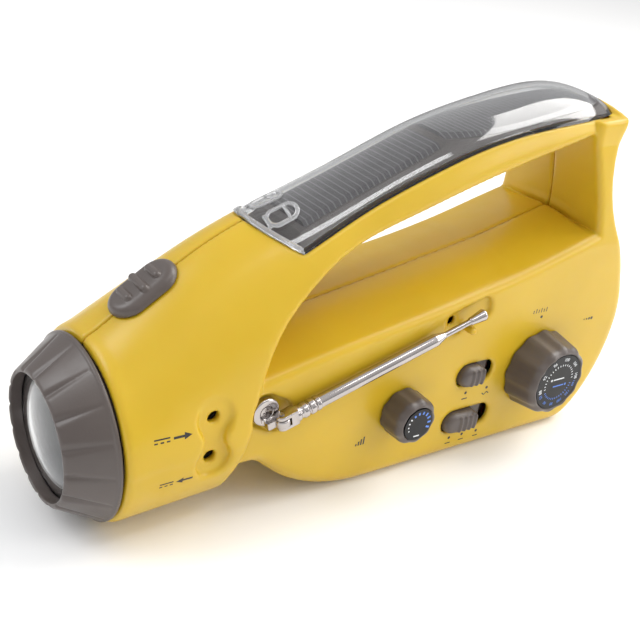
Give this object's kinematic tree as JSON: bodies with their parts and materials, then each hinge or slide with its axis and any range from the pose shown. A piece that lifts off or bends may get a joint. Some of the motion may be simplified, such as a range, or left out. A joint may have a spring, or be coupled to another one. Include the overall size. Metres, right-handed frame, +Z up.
{
  "type": "emergency radio",
  "caption": "Hand-held emergency radio with a torch in front, a handle with a solar charger, a folding telescopic antenna, rotary and slide controls and a dynamo crank.",
  "frame": {"origin": "on the flat base that the radio rests on, in the joint plane of the two housing halves, near the base's front end", "axes": "+X from the lamp to the tail, +Z up, the control panel faces -Y and the crank faces +Y"},
  "size_m": [0.2406, 0.0796, 0.1352],
  "materials": {
    "yellow_plastic": "moulded ABS, satin to gloss",
    "grey_plastic": "moulded taupe-grey plastic with a fine grain",
    "clear_plastic": "clear moulded polycarbonate",
    "mirror": "vacuum-metallised plastic",
    "chrome": "polished chrome plating",
    "solar_cell": "dark silicon with fine lines",
    "dial_face": "printed dial",
    "black_plastic": "moulded, fine grain",
    "white_nylon": "moulded nylon",
    "steel": "zinc-plated",
    "board": "solder mask",
    "copper": "enamelled copper wire",
    "ferrite": "sintered",
    "paper": "pressed paper",
    "cell_jacket": "printed jacket",
    "lamp_glass": "clear glass"
  },
  "bodies": {
    "housing": {"near_shell": "yellow_plastic", "far_shell": "yellow_plastic", "housing_screws": "steel", "lamp_bulb": "lamp_glass", "lamp_socket": "black_plastic", "lamp_bulkhead": "black_plastic", "lamp_switch_body": "black_plastic", "solar_cover": "clear_plastic", "solar_tray": "grey_plastic", "solar_cell_front": "solar_cell", "solar_cell_rear": "solar_cell", "tuning_capacitor": "white_nylon", "volume_control": "steel", "band_switch_body": "steel", "function_switch_body": "steel", "main_board": "board", "charge_out_jack": "black_plastic", "charge_in_jack": "black_plastic", "ferrite_rod": "ferrite", "aerial_coil": "copper", "speaker_frame": "steel", "speaker_cone": "paper", "battery_tray": "black_plastic", "battery_cells": "cell_jacket", "antenna_bracket": "steel", "antenna_screw": "chrome", "idler_axle": "steel", "gearbox_plate": "black_plastic", "dynamo_stator": "steel"},
    "bezel": {"bezel_ring": "grey_plastic", "lens": "clear_plastic", "lens_retainer": "black_plastic", "reflector": "mirror"},
    "lamp_switch": {"lamp_switch_slider": "grey_plastic"},
    "tuning_control": {"tuning_knob": "grey_plastic", "tuning_dial": "dial_face", "tuning_shaft": "steel"},
    "volume_knob_body": {"volume_knob": "grey_plastic", "volume_dial": "dial_face", "volume_shaft": "steel"},
    "band_switch": {"band_slider": "grey_plastic"},
    "function_switch": {"function_slider": "grey_plastic"},
    "battery_door_body": {"battery_door": "yellow_plastic"},
    "antenna_base": {"antenna_swivel": "chrome"},
    "antenna_arm": {"antenna_elbow": "chrome", "antenna_pin": "steel", "antenna_tube_1": "chrome"},
    "antenna_section_2": {"antenna_tube_2": "chrome"},
    "antenna_section_3": {"antenna_tube_3": "chrome"},
    "antenna_section_4": {"antenna_tip": "chrome"},
    "crank": {"crank_arm": "grey_plastic", "crank_shaft": "steel", "crank_gear": "white_nylon", "crank_hinge_pin": "steel"},
    "crank_pivot": {"crank_knob_pivot": "steel"},
    "crank_handle": {"crank_knob": "grey_plastic"},
    "idler": {"idler_gear": "white_nylon"},
    "rotor": {"rotor_pinion": "white_nylon", "dynamo_rotor": "ferrite"}
  },
  "joints": [
    {"name": "bezel_twist", "type": "hinge", "parent": "housing", "child": "bezel", "pos_m": [-0.104, 0, 0.0315], "axis": [-0.998, 0, -0.0628], "range_deg": [0, 45]},
    {"name": "lamp_switch_slide", "type": "slide", "parent": "housing", "child": "lamp_switch", "axis": [0.8141, 0, 0.5807], "range_m": [0, 0.0045]},
    {"name": "tuning_turn", "type": "hinge", "parent": "housing", "child": "tuning_control", "pos_m": [0.0712, -0.03, 0.0324], "axis": [0, -1, 0], "range_deg": [0, 180]},
    {"name": "volume_turn", "type": "hinge", "parent": "housing", "child": "volume_knob_body", "pos_m": [0.0036, -0.03, 0.0284], "axis": [0, -1, 0], "range_deg": [0, 270]},
    {"name": "band_slide", "type": "slide", "parent": "housing", "child": "band_switch", "axis": [1, 0, 0], "range_m": [0, 0.0058]},
    {"name": "function_slide", "type": "slide", "parent": "housing", "child": "function_switch", "axis": [1, 0, 0], "range_m": [0, 0.007]},
    {"name": "battery_door_pull", "type": "slide", "parent": "housing", "child": "battery_door_body", "axis": [0, 0, -1], "range_m": [0, 0.012]},
    {"name": "antenna_turn", "type": "hinge", "parent": "housing", "child": "antenna_base", "pos_m": [-0.055, -0.031, 0.0414], "axis": [0, -1, 0], "range_deg": [0, 60]},
    {"name": "antenna_tilt", "type": "hinge", "parent": "antenna_base", "child": "antenna_arm", "pos_m": [-0.0503, -0.031, 0.0388], "axis": [0.2823, 0, -0.9593], "range_deg": [0, 90]},
    {"name": "antenna_slide_1", "type": "slide", "parent": "antenna_arm", "child": "antenna_section_2", "axis": [0.9593, 0, 0.2823], "range_m": [0, 0.044]},
    {"name": "antenna_slide_2", "type": "slide", "parent": "antenna_section_2", "child": "antenna_section_3", "axis": [0.9593, 0, 0.2823], "range_m": [0, 0.044]},
    {"name": "antenna_slide_3", "type": "slide", "parent": "antenna_section_3", "child": "antenna_section_4", "axis": [0.9593, 0, 0.2823], "range_m": [0, 0.044]},
    {"name": "crank_spin", "type": "hinge", "parent": "housing", "child": "crank", "pos_m": [0.062, 0.03, 0.036], "axis": [0, 1, 0], "continuous": true},
    {"name": "crank_knob_fold", "type": "hinge", "parent": "crank", "child": "crank_pivot", "pos_m": [0.018, 0.0329, 0.036], "axis": [0, 0, 1], "range_deg": [0, 90]},
    {"name": "crank_knob_spin", "type": "hinge", "parent": "crank_pivot", "child": "crank_handle", "pos_m": [0.018, 0.0329, 0.036], "axis": [1, 0, 0], "continuous": true},
    {"name": "idler_spin", "type": "hinge", "parent": "housing", "child": "idler", "pos_m": [0.03442, 0.02, 0.04086], "axis": [0, 1, 0], "continuous": true},
    {"name": "rotor_spin", "type": "hinge", "parent": "housing", "child": "rotor", "pos_m": [0.01492, 0.005, 0.02867], "axis": [0, 1, 0], "continuous": true}
  ],
  "couplings": [
    {"joint": "idler_spin", "follows": "crank_spin", "ratio": -3.6667},
    {"joint": "rotor_spin", "follows": "crank_spin", "ratio": 13.2}
  ]
}
